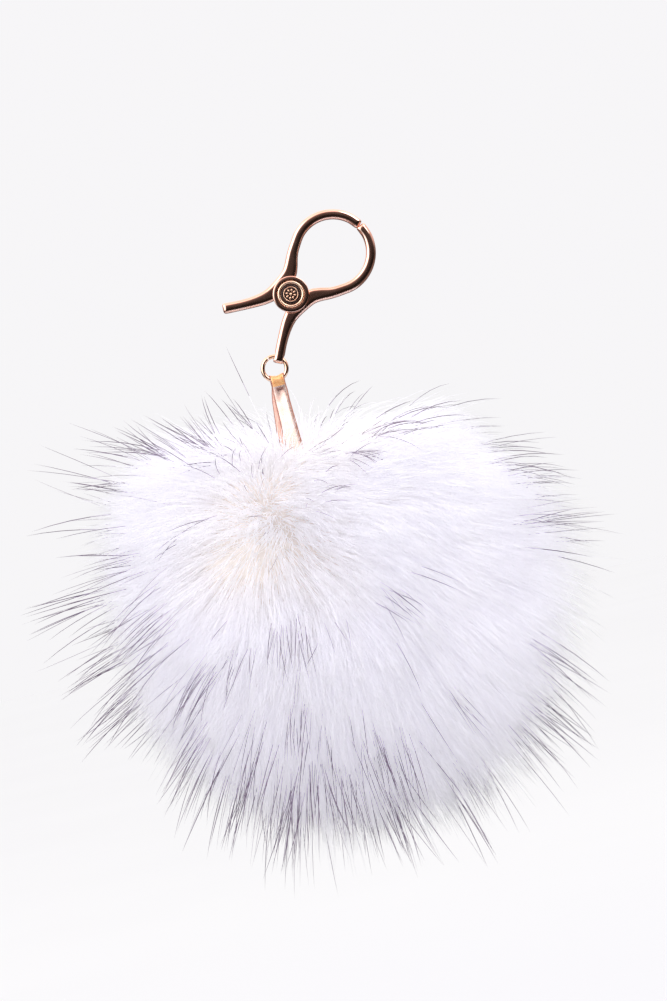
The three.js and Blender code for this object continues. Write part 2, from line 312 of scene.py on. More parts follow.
def metallic_leather():
    """Foil-coated leather: pebbled grain, and a foil tint that drifts a little from place to place."""
    look = Material("metallic_leather", Metallic=0.72, Coat_Weight=0.25, Coat_Roughness=0.25)
    pebbles = look.node("ShaderNodeTexVoronoi", feature="DISTANCE_TO_EDGE")
    pebbles.inputs["Scale"].default_value = 2.2 / MM
    look.link(look.stretched((1, 1, 0.75)), pebbles.inputs["Vector"])
    tints = (0.3, (0.86, 0.60, 0.51)), (0.55, (0.92, 0.70, 0.62)), (0.75, (0.94, 0.78, 0.71))
    look.colour(look.ramp(look.noise(0.5, 5), *tints))
    look.roughness(look.spread(look.noise(1.4, 5), 0.22, 0.38))
    look.bump(pebbles.outputs["Distance"], 0.02, 0.35)
    return look.material


def leather_lining():
    """The strip's matt underside, which shows where the back ply stands out at the side."""
    look = Material("leather_lining", Specular_IOR_Level=0.3)
    look.colour(look.ramp(look.noise(1.6, 5), (0.3, (0.80, 0.44, 0.34)), (0.7, (0.93, 0.62, 0.52))))
    look.roughness(look.spread(look.noise(2.4, 4), 0.5, 0.7))
    look.bump(look.noise(4.0, 3), 0.03, 0.4)
    return look.material


def fold_highlight_foil():
    """The foil on the fold over the ring in a brighter, more golden tint, and only half metallic so that this
    colour shows: a painted highlight.
    """
    look = Material("fold_highlight_foil", Metallic=0.5, Coat_Weight=0.4, Coat_Roughness=0.12)
    look.colour(look.ramp(look.noise(0.9, 4), (0.3, (0.86, 0.38, 0.14)), (0.7, (0.97, 0.60, 0.28))))
    look.roughness(look.spread(look.noise(1.4, 5), 0.26, 0.4))
    look.bump(look.noise(1.6, 4), 0.03, 0.4)
    return look.material


def leather_edge():
    look = Material("leather_edge", Specular_IOR_Level=0.4)
    look.colour(look.ramp(look.noise(2.5, 4), (0.3, (0.30, 0.11, 0.08)), (0.7, (0.50, 0.24, 0.17))))
    look.roughness(look.spread(look.noise(3.0, 4), 0.4, 0.65))
    look.bump(look.noise(6.0, 3), 0.03, 0.5)
    return look.material


def twisted_thread(name, light, dark):
    look = Material(name, Sheen_Weight=0.4, Roughness=0.7)
    wave = look.node("ShaderNodeTexWave", wave_type="BANDS", bands_direction="DIAGONAL")
    wave.inputs["Scale"].default_value = 1.3 / MM
    look.link(look.coordinates, wave.inputs["Vector"])
    look.colour(look.ramp(wave.outputs["Fac"], (0.2, dark), (0.8, light)))
    look.bump(wave.outputs["Fac"], 0.06, 0.7)
    return look.material


def knitted_cloth():
    """Fine knit: rows of small loops, cream."""
    look = Material("knitted_cloth", Sheen_Weight=0.3, Roughness=0.85)
    loops = look.node("ShaderNodeTexVoronoi", feature="F1")
    loops.inputs["Scale"].default_value = 1.1 / MM
    look.link(look.stretched((1, 1, 1.6)), loops.inputs["Vector"])
    look.colour(look.ramp(loops.outputs["Distance"], (0.1, (0.80, 0.74, 0.66)), (0.6, (0.62, 0.55, 0.47))))
    look.bump(loops.outputs["Distance"], 0.15, 0.8)
    return look.material


def fluff(name, light, dark, per_mm=0.6):
    """Loose matted fibre: stuffing and the felt-like floor of the pile."""
    look = Material(name, Sheen_Weight=0.5, Roughness=0.9)
    fibres = look.noise(per_mm, 8, (1, 1, 0.35))
    look.colour(look.ramp(fibres, (0.3, dark), (0.65, light)))
    look.bump(fibres, 0.6, 0.8)
    return look.material


def hair(name, root, light, dark, rough, painted_glow=0.0):
    """Acrylic fibre: a satin strand, creamier at the root, whose tint drifts from lock to lock. White fibre
    lets light in; its emission is painted light, lilac-white, that lifts the shade between the strands in
    place of the light that passes on from strand to strand."""
    look = Material(name, Sheen_Weight=0.15, Specular_IOR_Level=0.22, Roughness=rough)
    # Painted light: a faint lilac-white emission lifts the shade between the strands.
    look.shader.inputs["Emission Color"].default_value = (0.94, 0.92, 1.0, 1)
    look.shader.inputs["Emission Strength"].default_value = painted_glow
    if painted_glow:
        look.shader.inputs["Subsurface Weight"].default_value = 0.7
        look.shader.inputs["Subsurface Scale"].default_value = 2 * MM
        look.shader.inputs["Subsurface Radius"].default_value = (1.0, 1.0, 1.0)
    locks = look.ramp(look.noise(0.07, 3), (0.35, dark), (0.65, light))
    look.colour(look.mixed(look.height(36, 52), root, locks))
    return look.material


ROSE_GOLD = plated_metal("rose_gold", (0.90, 0.66, 0.56), (0.84, 0.56, 0.45), 0.08)
BRIGHT_GOLD = plated_metal("bright_gold", (0.94, 0.70, 0.52), (0.88, 0.60, 0.42), 0.07)
SATIN_GOLD = plated_metal("satin_gold", (0.96, 0.77, 0.60), (0.90, 0.66, 0.48), 0.28)
ENAMEL = enamel()
STEEL = spring_steel()
LEATHER = metallic_leather()
LEATHER_LINING = leather_lining()
FOLD_HIGHLIGHT_FOIL = fold_highlight_foil()
LEATHER_EDGE = leather_edge()
# The bar tack's dark brown also stands for the painted shade of the crease under the fold.
STITCH_THREAD_AND_CREASE_SHADE = twisted_thread("stitch_thread_and_crease_shade", (0.30, 0.12, 0.09), (0.12, 0.045, 0.035))
GATHER_THREAD = twisted_thread("gather_thread_look", (0.86, 0.83, 0.80), (0.62, 0.58, 0.55))
KNIT = knitted_cloth()
STUFFING = fluff("stuffing_fluff", (0.90, 0.89, 0.87), (0.72, 0.70, 0.68))
PILE_FLOOR = fluff("pile_floor", (0.93, 0.88, 0.83), (0.84, 0.77, 0.70), 0.35)
# The last value of the cream and white hair is the strength of their painted light, an emission that lifts
# their shade.
HAIR_CREAM = hair("hair_cream", (0.93, 0.87, 0.82), (0.97, 0.945, 0.925), (0.945, 0.91, 0.88), 0.6, 0.165)
HAIR_WHITE = hair("hair_white", (0.965, 0.93, 0.915), (0.96, 0.95, 0.995), (0.925, 0.91, 0.975), 0.55, 0.175)
HAIR_GREY = hair("hair_grey", (0.60, 0.54, 0.62), (0.50, 0.43, 0.56), (0.34, 0.28, 0.40), 0.5)
HAIR_DARK = hair("hair_dark", (0.15, 0.11, 0.16), (0.190, 0.130, 0.215), (0.095, 0.062, 0.118), 0.5)


# ---- Metal ----------------------------------------------------------------------------------


def smooth_casting(node, voxel_mm, rounds, swell_mm):
    """A fine, soft-edged copy of a CAD casting."""
    piece = add_object(node + "_cast", frame["nodes"][node].data.copy())
    remesh = piece.modifiers.new("voxels", "REMESH")
    remesh.mode = "VOXEL"
    remesh.voxel_size = voxel_mm * MM
    remesh.use_smooth_shade = True
    relax = piece.modifiers.new("relax", "SMOOTH")
    relax.factor = 0.5
    relax.iterations = rounds
    swell = piece.modifiers.new("swell", "DISPLACE")
    swell.strength = swell_mm * MM
    swell.mid_level = 0
    apply_modifiers(piece)
    return piece


def clasp_arms():
    for node, body in (("clip_arm_lower", "clip"), ("clip_arm_upper", "upper_arm")):
        casting = smooth_casting(node, voxel_mm=0.13, rounds=64, swell_mm=0.19)
        finish_piece(casting, ROSE_GOLD, body, "rose_gold", node)


def turned(name, profile, steps=96):
    """A turned piece about the hub's axis: [radius, y] corners from the rear round to the front."""
    angles = np.arange(steps) * 2 * math.pi / steps
    vertices = [
        (HUB[0] + r * math.cos(a), y, HUB[2] + r * math.sin(a)) for r, y in profile for a in angles
    ]
    closed = profile[0][0] > 0
    piece = mesh_object(name, vertices, ring_faces(len(profile), steps, wrap=closed))
    merge_corners(piece, outward=True)
    smooth_faces(piece)
    piece.data.set_sharp_from_angle(angle=math.radians(35))
    return piece


def arc(centre_r, centre_y, radius, from_deg, to_deg, steps):
    """Profile points on an arc, measured from the outward direction towards the front."""
    return [
        (centre_r + radius * math.cos(angle), centre_y - radius * math.sin(angle))
        for angle in np.radians(np.linspace(from_deg, to_deg, steps + 1))
    ]


PIN_HOLE = 1.1  # radius of the hole for the pivot pin, with its clearance


def hub_bezel():
    """A low polished rim and, inside it, a bright raised ring round the medallion's seat."""
    low, high = node_box("hub_bezel")
    outer = box_radius(low, high)
    front, back = low[1], high[1]
    step, rounding, seat = 3.8, 0.2, back - 0.75
    profile = [(PIN_HOLE, back), (outer - rounding, back)]
    profile += arc(outer - rounding, back - rounding, rounding, -90, 0, 4)
    profile += arc(outer - rounding, front + 0.32, rounding, 0, 80, 6)
    profile += [(step + 0.45, front + 0.03), (step + 0.1, front + 0.08), (step, front + 0.3)]
    profile += [(step - 0.05, seat), (PIN_HOLE, seat)]
    finish_piece(turned("hub_bezel_rim", profile), ROSE_GOLD, "clip", "rose_gold", "hub_bezel")
    ring = [(3.72, seat + 0.03), *arc(3.31, front + 0.40, 0.40, 0, 180, 16), (2.9, seat + 0.03)]
    finish_piece(turned("hub_bezel_ring", ring), SATIN_GOLD, "clip", "bright_gold")


def medallion():
    """The recessed dark disc, and on it a plain ring, a dot and a wreath of small petals."""
    low, high = node_box("front_medallion")
    radius = box_radius(low, high)
    back = high[1]
    face = back - 0.32
    profile = [(0, back), (radius - 0.08, back), (radius, back - 0.08)]
    profile += arc(radius - 0.12, face + 0.12, 0.12, 0, 90, 5)
    profile += [(0, face)]
    disc = turned("medallion_disc", profile)
    finish_piece(disc, ENAMEL, "clip", "dark_enamel", "front_medallion")

    ridge = turned("medallion_ring", arc(1.95, face + 0.03, 0.14, -40, 220, 12))
    finish_piece(ridge, BRIGHT_GOLD, "clip", "bright_gold")
    foot, swell = face + 0.05, 0.42
    dot = turned("medallion_dot", [(0, foot), (swell, foot), *arc(0.0, foot, swell, 0, 90, 8)])
    finish_piece(dot, BRIGHT_GOLD, "clip", "bright_gold")
    petals(face)


def petals(face, count=8):
    """Raised drops set round the dot."""
    vertices, faces = [], []
    around, along = 12, 8
    for k in range(count):
        turn = 2 * math.pi * (k + 0.5) / count
        out = np.array([math.cos(turn), math.sin(turn)])
        side = np.array([-out[1], out[0]])
        start = len(vertices)
        for i in range(along + 1):
            t = i / along
            width = 0.27 * math.sin(math.pi * t) ** 0.8 + 1e-4
            centre = out * (0.72 + 0.78 * t)
            for j in range(around):
                a = 2 * math.pi * j / around
                flat = centre + side * width * math.cos(a)
                vertices.append((HUB[0] + flat[0], face + 0.03 - 0.6 * width * math.sin(a), HUB[2] + flat[1]))
        faces += ring_faces(along + 1, around, start)
        faces.append(tuple(start + j for j in reversed(range(around))))
        faces.append(tuple(start + along * around + j for j in range(around)))
    piece = mesh_object("medallion_petals", vertices, faces)
    finish_piece(piece, BRIGHT_GOLD, "clip", "bright_gold")


def rear_cap():
    """A round cap with a blind hole for the pin's end and a fine groove in its flat back."""
    low, high = node_box("rear_cap")
    radius = box_radius(low, high)
    inner, outer = low[1], high[1]
    profile = [(0, inner + 0.6), (PIN_HOLE, inner + 0.6), (PIN_HOLE, inner), (radius - 0.15, inner)]
    profile += [(radius, inner + 0.15)]
    profile += arc(radius - 0.45, outer - 0.45, 0.45, 0, -90, 8)
    profile += [(2.6, outer), (2.5, outer - 0.12), (2.3, outer - 0.12), (2.2, outer), (0, outer)]
    finish_piece(turned("rear_cap_disc", profile), ROSE_GOLD, "clip", "rose_gold", "rear_cap")


def wire_mesh(name, points, radius, sides=16):
    """A round wire through points, with flat ends."""
    points = np.array(points, float)
    tangent = unit(np.gradient(points, axis=0))
    side = unit(np.cross(tangent, np.array([0.0, 1.0, 0.0]) + 1e-3))
    other = np.cross(tangent, side)
    ring = np.arange(sides) * 2 * math.pi / sides
    vertices = []
    for p, a, b in zip(points, side, other):
        vertices += [p + radius * (math.cos(t) * a + math.sin(t) * b) for t in ring]
    faces = ring_faces(len(points), sides)
    faces.append(tuple(reversed(range(sides))))
    faces.append(tuple((len(points) - 1) * sides + j for j in range(sides)))
    return mesh_object(name, vertices, faces)


def bevel_ends(piece, width_mm):
    """Rounds the rims of a wire's ends."""
    bevel = piece.modifiers.new("bevel", "BEVEL")
    bevel.width = width_mm * MM
    bevel.segments = 3
    bevel.limit_method = "ANGLE"
    bevel.angle_limit = math.radians(50)
    apply_modifiers(piece)
    smooth_faces(piece)


def jump_ring():
    """A ring of round wire with a hairline gap at the upper left."""
    low, high = node_box("jump_ring")
    wire = (high[1] - low[1]) / 2
    radius = box_radius(low, high) - wire
    gap_at, gap = 112, 5
    start, sweep = math.radians(gap_at + gap / 2), math.radians(360 - gap)
    points = [
        RING_CENTRE + radius * np.array([math.cos(start + sweep * t), 0, math.sin(start + sweep * t)])
        for t in np.linspace(0, 1, 121)
    ]
    piece = wire_mesh("jump_ring_wire", points, wire)
    bevel_ends(piece, 0.12)
    finish_piece(piece, BRIGHT_GOLD, "ring", "bright_gold", "jump_ring")


def hidden_metal():
    """The pin and the spring keep their CAD shape."""
    for node in ("pivot_pin", "torsion_spring"):
        found = frame["nodes"][node]
        found.data.materials.clear()
        found.data.materials.append(STEEL)
        smooth_faces(found)


# ---- Strap ----------------------------------------------------------------------------------

STRAP_LEAN = math.radians(2.2)  # about Y, at the ring
STRAP_TWIST = math.radians(-17)  # about its length, from the fold down
PLY = 0.98  # thickness of one layer of the folded strip
FOLD_WIDTH, NECK_WIDTH, END_WIDTH = 3.9, 4.2, 5.2
FOLD_END = 4.9  # how far below the ring's centre the fold ends
STRAP_LENGTH = RING_CENTRE[2] - NECK[2] + 0.4
RING_WIRE = 0.575  # radius of the jump ring's wire
STRAP_ACROSS = 14  # steps across the strip


def strap_line(length, fold_radius, steps=120):
    """The strip's middle line in Y and Z below the ring's centre: up the front, over, down the back."""
    drop = (RING_CENTRE[2] - node_box("jump_ring")[0][2]) - RING_WIRE
    half_gap = PLY / 2 + 0.09
    top = [(-half_gap, -length), (-half_gap, -16), (-half_gap, -8), (-half_gap, -6.3), (-0.72, -5.0)]
    turn = [
        (-fold_radius * math.cos(a), -drop + fold_radius * math.sin(a))
        for a in np.radians([0, 30, 60, 90])
    ]
    half = np.array(top + turn)
    whole = np.vstack([half, (half[:-1] * [-1, 1])[::-1]])
    span = np.r_[0, np.cumsum(np.linalg.norm(np.diff(whole, axis=0), axis=1))]
    t = np.linspace(0, span[-1], steps)
    line = np.c_[np.interp(t, span, whole[:, 0]), np.interp(t, span, whole[:, 1])]
    for _ in range(4):
        line[1:-1] = 0.25 * line[:-2] + 0.5 * line[1:-1] + 0.25 * line[2:]
    return line


def strap_outline():
    """The strip's section, crowned and with rolled edges: across from -1 to 1, and thickness in plies."""
    across = [-1 + 2 * i / STRAP_ACROSS for i in range(STRAP_ACROSS + 1)]
    inner = [(x, 0.5 * (1 - abs(x) ** 6) + 0.12 * (1 - x * x)) for x in across]
    outer = [(x, -0.5 * (1 - abs(x) ** 6) + 0.12 * (1 - x * x)) for x in across[-2:0:-1]]
    return inner + outer


def strap_corners(line, outline):
    """Corners of the strip about the ring's centre. The fold is saddled round the ring's inside, and the
    back ply stands out to one side."""
    saddle_radius = box_radius(*node_box("jump_ring")) - RING_WIRE
    tangent = unit(np.gradient(line, axis=0))
    normal = np.c_[tangent[:, 1], -tangent[:, 0]]
    corners = []
    for i, (y, z) in enumerate(line):
        width = np.interp(
            -z, [3.0, FOLD_END, 6.4, STRAP_LENGTH], [FOLD_WIDTH, FOLD_WIDTH, NECK_WIDTH, END_WIDTH]
        )
        aside = np.interp(
            -z, [FOLD_END, 9, 17, STRAP_LENGTH - 3, STRAP_LENGTH], [-0.2, -1.2, -2.0, -1.6, -1.0]
        )
        skew = aside * (i / (len(line) - 1) > 0.5)
        saddle = np.clip(1 - (-z - 3.3) / 2.2, 0, 1)
        turn = STRAP_TWIST * np.clip((-z - 4.2) / 5.0, 0, 1)
        for x, n in outline:
            px = x * width / 2 + skew
            rise = saddle * (saddle_radius - math.sqrt(max(saddle_radius**2 - px**2, 0.1)))
            py = y + n * PLY * normal[i, 0] * 0.98
            pz = z + n * PLY * normal[i, 1] * 0.98 + rise
            corners.append(
                (px * math.cos(turn) - py * math.sin(turn), px * math.sin(turn) + py * math.cos(turn), pz)
            )
    return np.array(corners)


def strap_surface(piece, line, loop):
    """Foil on the outside, a cut edge at the sides, brighter golden foil on the fold as a painted highlight,
    and the lining.
    """
    for material in (LEATHER, LEATHER_EDGE, FOLD_HIGHLIGHT_FOIL, LEATHER_LINING):
        piece.data.materials.append(material)
    edges = (STRAP_ACROSS - 1, STRAP_ACROSS, loop - 1, 0)
    for k, polygon in enumerate(piece.data.polygons):
        if k >= (len(line) - 1) * loop or k % loop in edges:
            polygon.material_index = 1
        # The fold gets the brighter foil: a painted highlight.
        elif line[k // loop, 1] > -5.0:
            polygon.material_index = 2
        elif k % loop < STRAP_ACROSS:
            polygon.material_index = 3


def strap():
    """One strip of foil-coated leather, folded over the ring."""
    line = strap_line(STRAP_LENGTH, 1.1)
    outline = strap_outline()
    corners = strap_corners(line, outline)
    cos, sin = math.cos(STRAP_LEAN), math.sin(STRAP_LEAN)
    leaned_x = corners[:, 0] * cos - corners[:, 2] * sin
    leaned_z = corners[:, 0] * sin + corners[:, 2] * cos
    corners = np.c_[leaned_x, corners[:, 1], leaned_z] + RING_CENTRE
    loop = len(outline)
    faces = ring_faces(len(line), loop, inward=True)
    faces.append(tuple(range(loop)))
    faces.append(tuple((len(line) - 1) * loop + j for j in reversed(range(loop))))
    piece = mesh_object("strap_leather", corners, faces)
    strap_surface(piece, line, loop)
    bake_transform(piece)
    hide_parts("strap")


def strap_stitch():
    """The bar tack: five close turns of thread through both plies, set in the crease under the fold, where
    its dark brown also stands for the crease's painted shade.
    """
    low, high = node_box("strap_stitch")
    centre = (low + high) / 2
    turns = 5
    half_x, half_y = 1.0, (high[1] - low[1]) / 2 - 0.18
    points = []
    for t in np.linspace(0, 1, turns * 28):
        a = 2 * math.pi * turns * t
        x = half_x * (2 * t - 1)
        y = half_y * np.sign(math.cos(a)) * abs(math.cos(a)) ** 0.35
        z = 0.42 * math.sin(a)
        points.append(centre + [x, y, z])
    piece = wire_mesh("strap_stitch_thread", points, 0.17, 8)
    finish_piece(piece, STITCH_THREAD_AND_CREASE_SHADE, "strap", "sewing_thread", "strap_stitch")


# ---- Ball under the fur ---------------------------------------------------------------------

NECK_TILT = math.atan2(NECK[0] - CORE[0], NECK[2] - CORE[2])


def ripple(directions, seed, low, high, count=10):
    """A smooth random field over directions, about -1 to 1."""
    rng = np.random.default_rng(seed)
    waves = unit(rng.normal(size=(count, 3))) * rng.uniform(low, high, (count, 1))
    phase = rng.uniform(0, 2 * math.pi, count)
    return np.sin(directions @ waves.T + phase).sum(1) / math.sqrt(count)


def about_neck(polar, turn):
    """Directions at some polar angles from the neck's own direction."""
    x, y, z = np.sin(polar) * np.cos(turn), np.sin(polar) * np.sin(turn), np.cos(polar)
    cos, sin = math.cos(NECK_TILT), math.sin(NECK_TILT)
    return np.stack([x * cos + z * sin, y, -x * sin + z * cos], 1)


def polar_grid(from_deg, around, down):
    """Directions over a ball in rows about the neck's direction, and the polar angle and turn of each."""
    polar = np.repeat(np.radians(np.linspace(from_deg, 180, down)), around)
    turn = np.tile(np.arange(around) * 2 * math.pi / around, down)
    return about_neck(polar, turn), polar, turn


def shell(name, outer, inner, from_deg, around=128, down=64):
    """A closed shell between two radius functions of (directions, polar angle, turn)."""
    directions, polar, turn = polar_grid(from_deg, around, down)
    layers = [CORE + directions * radius(directions, polar, turn)[:, None] for radius in (outer, inner)]
    layer = around * down
    faces = ring_faces(down, around, inward=True) + ring_faces(down, around, layer)
    for j in range(around):
        n = (j + 1) % around
        faces.append((j, n, layer + n, layer + j))
    piece = mesh_object(name, np.vstack(layers), faces)
    merge_corners(piece)
    return piece


def gathers(polar, turn, depth, folds=18):
    """Pleats that run down from the drawn-up neck and die out."""
    return depth * np.cos(folds * turn) * np.exp(-((polar / 0.55) ** 2))


def backing():
    """The knitted cloth that the pile grows on, drawn up in pleats at the neck."""
    neck_deg = math.degrees(math.asin(3.5 / BALL_RADIUS))

    def outer(_, polar, turn):
        return BALL_RADIUS - 0.25 + gathers(polar, turn, 0.22)

    def inner(_, polar, turn):
        return BALL_RADIUS - 0.85 + gathers(polar, turn, 0.22)

    piece = shell("fur_backing_cloth", outer, inner, neck_deg)
    finish_piece(piece, KNIT, "pom", "knitted_backing", "fur_backing")


def stuffing():
    """Polyester fibre, lumpy, with a dip under the neck."""
    radius = box_radius(*node_box("stuffing_ball"))
    around, down = 96, 56
    directions, polar, _ = polar_grid(0, around, down)
    dip = 5.0 * np.exp(-((polar / 0.2) ** 2))
    size = radius - 0.45 - dip + 0.3 * ripple(directions, 3, 6, 16)
    piece = mesh_object(
        "stuffing_fill", CORE + directions * size[:, None], ring_faces(down, around, inward=True)
    )
    merge_corners(piece)
    finish_piece(piece, STUFFING, "pom", "polyester_fill", "stuffing_ball")


def gather_thread():
    """One turn of thread, drawn tight round the neck, with its two ends side by side."""
    low, high = node_box("gather_thread")
    centre = (low + high) / 2
    wire = (high[2] - low[2]) / 2
    radius = box_radius(low, high) - wire
    start, sweep = math.radians(5), math.radians(350)
    points = [
        centre + [radius * math.cos(start + sweep * t), radius * math.sin(start + sweep * t), 0]
        for t in np.linspace(0, 1, 97)
    ]
    piece = wire_mesh("gather_thread_cord", points, wire, 12)
    finish_piece(piece, GATHER_THREAD, "pom", "sewing_thread", "gather_thread")


def pile_floor():
    """The matted foot of the pile, which keeps light from reaching the cloth."""
    def outer(directions, polar, turn):
        rise = 1 - np.exp(-(((polar - 0.2) / 0.35) ** 2))
        return BALL_RADIUS + 0.6 + 8.5 * rise + 0.9 * ripple(directions, 5, 8, 22) * rise

    def inner(directions, polar, turn):
        return np.full(len(directions), BALL_RADIUS + 0.35)

    piece = shell("fur_pile_floor", outer, inner, math.degrees(0.2), 160, 80)
    finish_piece(piece, PILE_FLOOR, "pom", "faux_fur", "fur_pile")


# ---- Fur ------------------------------------------------------------------------------------

UNDERCOAT_HAIRS, PILE_HAIRS, COLLAR_HAIRS = 11000, 58000, 3600
PILE_LOCKS = 1500
EVEN_TUFTS, CREST_TUFTS, LOWER_TUFTS, PARTING_TUFTS = 225, 26, 46, 6
LONGEST_REACH = 13  # how far hair tips may stand out of the CAD box
NECK_WAY = unit(NECK - CORE)
WHORL = unit(np.array([-13.9, -24.6, 12.7]))  # the lower end of the pile's parting, at the front
NECK_CLEAR = math.radians(9)  # only the collar grows nearer the neck than this
GRAVITY = np.array([0.06, 0.0, -1.0])  # the way that hairs sink
FUR_LOW = np.array(CAD_LOW) / MM - LONGEST_REACH
FUR_HIGH = np.array(CAD_HIGH) / MM + LONGEST_REACH


def scatter(count, rng, jitter=1.5):
    """Even, slightly uneven directions over the ball, none of them in the neck."""
    i = np.arange(count) + 0.5
    polar = np.arccos(1 - 2 * i / count)
    turn = math.pi * (1 + math.sqrt(5)) * i
    made = np.c_[np.sin(polar) * np.cos(turn), np.sin(polar) * np.sin(turn), np.cos(polar)]
    made = unit(made + rng.normal(size=made.shape) * jitter / math.sqrt(count))
    return made[made @ NECK_WAY < math.cos(NECK_CLEAR)]


def off_parting(roots):
    """How far each root is from the parting, which runs from the neck down the front, and the way off it."""
    axis = unit(np.cross(NECK_WAY, WHORL))
    along = np.cross(axis, NECK_WAY)
    length = math.acos(NECK_WAY @ WHORL)
    angle = np.arctan2(roots @ along, roots @ NECK_WAY)
    angle = np.where(angle < length / 2 - math.pi, length, angle)
    angle = np.clip(angle, 0, length)[:, None]
    nearest = np.cos(angle) * NECK_WAY + np.sin(angle) * along
    near = np.clip((roots * nearest).sum(1), -1, 1)
    return np.arccos(near), unit(roots * near[:, None] - nearest)


def drift(roots, seed, low, high):
    """A smooth random vector for each root, so that neighbours lean alike."""
    return np.stack([ripple(roots, seed + k, low, high) for k in range(3)], 1)


def hair_paths(roots, length, steps, rng, stray=0.08, wave=0.16, sink=0.62, lean_deg=38):
    """Paths of hairs that leave the ball along its normals, lean off the parting and the neck and sink
    under their weight. Returns (hairs, steps + 1, 3)."""
    apart, away = off_parting(unit(roots + 0.10 * drift(roots, 51, 3, 9)))
    lean = np.radians(lean_deg) * (1 - np.exp(-apart / 0.09)) * np.exp(-((apart / 0.95) ** 2))
    start = roots * np.cos(lean)[:, None] + away * np.sin(lean)[:, None]
    along = roots @ NECK_WAY
    outward = unit(roots * along[:, None] - NECK_WAY)
    front = np.clip(0.1 - outward[:, 1], 0, 1)
    start = start + (front * 1.6 * np.exp(-((np.arccos(along) / 0.42) ** 2)))[:, None] * outward
    start = unit(start) + stray * rng.normal(size=roots.shape) + wave * drift(roots, 21, 3, 8)
    lock = wave * drift(roots, 31, 7, 15)
    curl = 0.6 * wave * drift(roots, 41, 12, 26) + 0.8 * stray * rng.normal(size=roots.shape)
    rising = np.clip(roots[:, 2], 0, 1) * np.clip(0.5 + roots[:, 0], 0, 1)
    weight = (sink * (1 + 0.35 * roots[:, 0]) * (1 + 0.4 * rising))[:, None] * GRAVITY
    place = CORE + roots * (BALL_RADIUS - 0.1)
    path = [place]
    for k in range(steps):
        s = (k + 0.5) / steps
        ahead = unit(start + weight * s**1.1 + lock * s + curl * 2 * s * s)
        place = place + ahead * (length / steps)[:, None]
        path.append(place)
    return np.stack(path, 1)


def held_in(paths):
    """Shortens the hairs whose tips pass the longest reach of the fur."""
    root = paths[:, :1]
    way = paths[:, -1:] - root
    way = np.where(np.abs(way) < 1e-6, 1e-6, way)
    room = np.where(way > 0, FUR_HIGH - root, FUR_LOW - root) / way
    return root + (paths - root) * np.clip(room.min(-1, keepdims=True), 0, 1)


def reach(roots):
    """How much longer or shorter the pile is on each side: long at the right and below."""
    up, down = np.clip(roots[:, 2], 0, 1), np.clip(-roots[:, 2], 0, 1)
    left = np.clip(-roots[:, 0], 0, 1)
    return 1 + 0.17 * roots[:, 0] + 0.20 * down - 0.12 * up + 0.40 * up * left


def gathered(paths, roots, centres, centre_paths, strength):
    """Pulls each hair towards the middle hair of its lock, more and more towards the tip."""
    nearest = np.concatenate([(part @ centres.T).argmax(1) for part in np.array_split(roots, 24)])
    middle = centre_paths[nearest]
    s = np.linspace(0, 1, paths.shape[1])[None, :, None]
    pull = strength[nearest][:, None, None] * s**1.3
    return middle + (paths - middle) * (1 - pull)


def strands(name, paths, widths, material, per_piece, rng, thickness=1.0):
    """Closed three-sided strands along the paths, in pieces of a limited size. widths are radii, with no
    width at a pointed end, and thickness scales them, for all hairs or for each."""
    count, points = paths.shape[:2]
    thickness = np.ones(count) * thickness
    tangent = unit(np.gradient(paths, axis=1))
    side = unit(np.cross(tangent, unit(rng.normal(size=(count, 1, 3)))))
    other = np.cross(tangent, side)
    rings = [j for j in range(points) if widths[j] > 0]
    corners = []
    for j in rings:
        for a in (0, 2 * math.pi / 3, 4 * math.pi / 3):
            around = math.cos(a) * side[:, j] + math.sin(a) * other[:, j]
            corners.append(paths[:, j] + (widths[j] * thickness)[:, None] * around)
    block = np.stack([paths[:, 0], *corners, paths[:, -1]], 1)
    size = block.shape[1]
    last = size - 4
    faces = [(0, 1 + (k + 1) % 3, 1 + k) for k in range(3)]
    for start in range(1, last, 3):
        for k in range(3):
            a, b = start + k, start + (k + 1) % 3
            faces += [(a, b, b + 3), (a, b + 3, a + 3)]
    faces += [(last + k, last + (k + 1) % 3, size - 1) for k in range(3)]
    faces = np.array(faces)
    for part, start in enumerate(range(0, count, per_piece)):
        some = block[start : start + per_piece]
        index = faces[None] + (np.arange(len(some)) * size)[:, None, None]
        piece = triangle_object(f"{name}_{part + 1}", some.reshape(-1, 3), index.reshape(-1, 3))
        finish_piece(piece, material, "pom", "faux_fur")


def undercoat(rng):
    """Short thick hairs that close the pile below the long ones."""
    roots = scatter(UNDERCOAT_HAIRS, rng)
    length = rng.uniform(14, 24, len(roots)) * reach(roots)
    paths = hair_paths(roots, length, 4, rng, stray=0.2, wave=0.2)
    strands("fur_undercoat", paths, [0, 0.17, 0.15, 0.10, 0], HAIR_CREAM, 10000, rng)


def long_pile(rng):
    """The white pile, of two lengths and a few longer hairs, gathered into soft locks."""
    roots = scatter(PILE_HAIRS, rng)
    rng.shuffle(roots)
    draw = rng.uniform(size=len(roots))
    length = np.where(draw < 0.55, rng.uniform(25, 34, len(roots)), rng.uniform(32, 41, len(roots)))
    length = np.where(draw > 0.94, length + 5, length) * reach(roots)
    paths = hair_paths(roots, length, 6, rng)
    centres = scatter(PILE_LOCKS, rng, 2.5)
    middle = hair_paths(centres, 36.0 * reach(centres), 6, rng, 0.1, 0.15)
    strength = np.clip(0.22 + 0.25 * rng.normal(size=len(centres)), 0.03, 0.85)
    paths = gathered(paths, roots, centres, middle, strength)
    strands("fur_long_pile", paths, [0, 0.085, 0.10, 0.095, 0.075, 0.045, 0], HAIR_WHITE, 6500, rng)


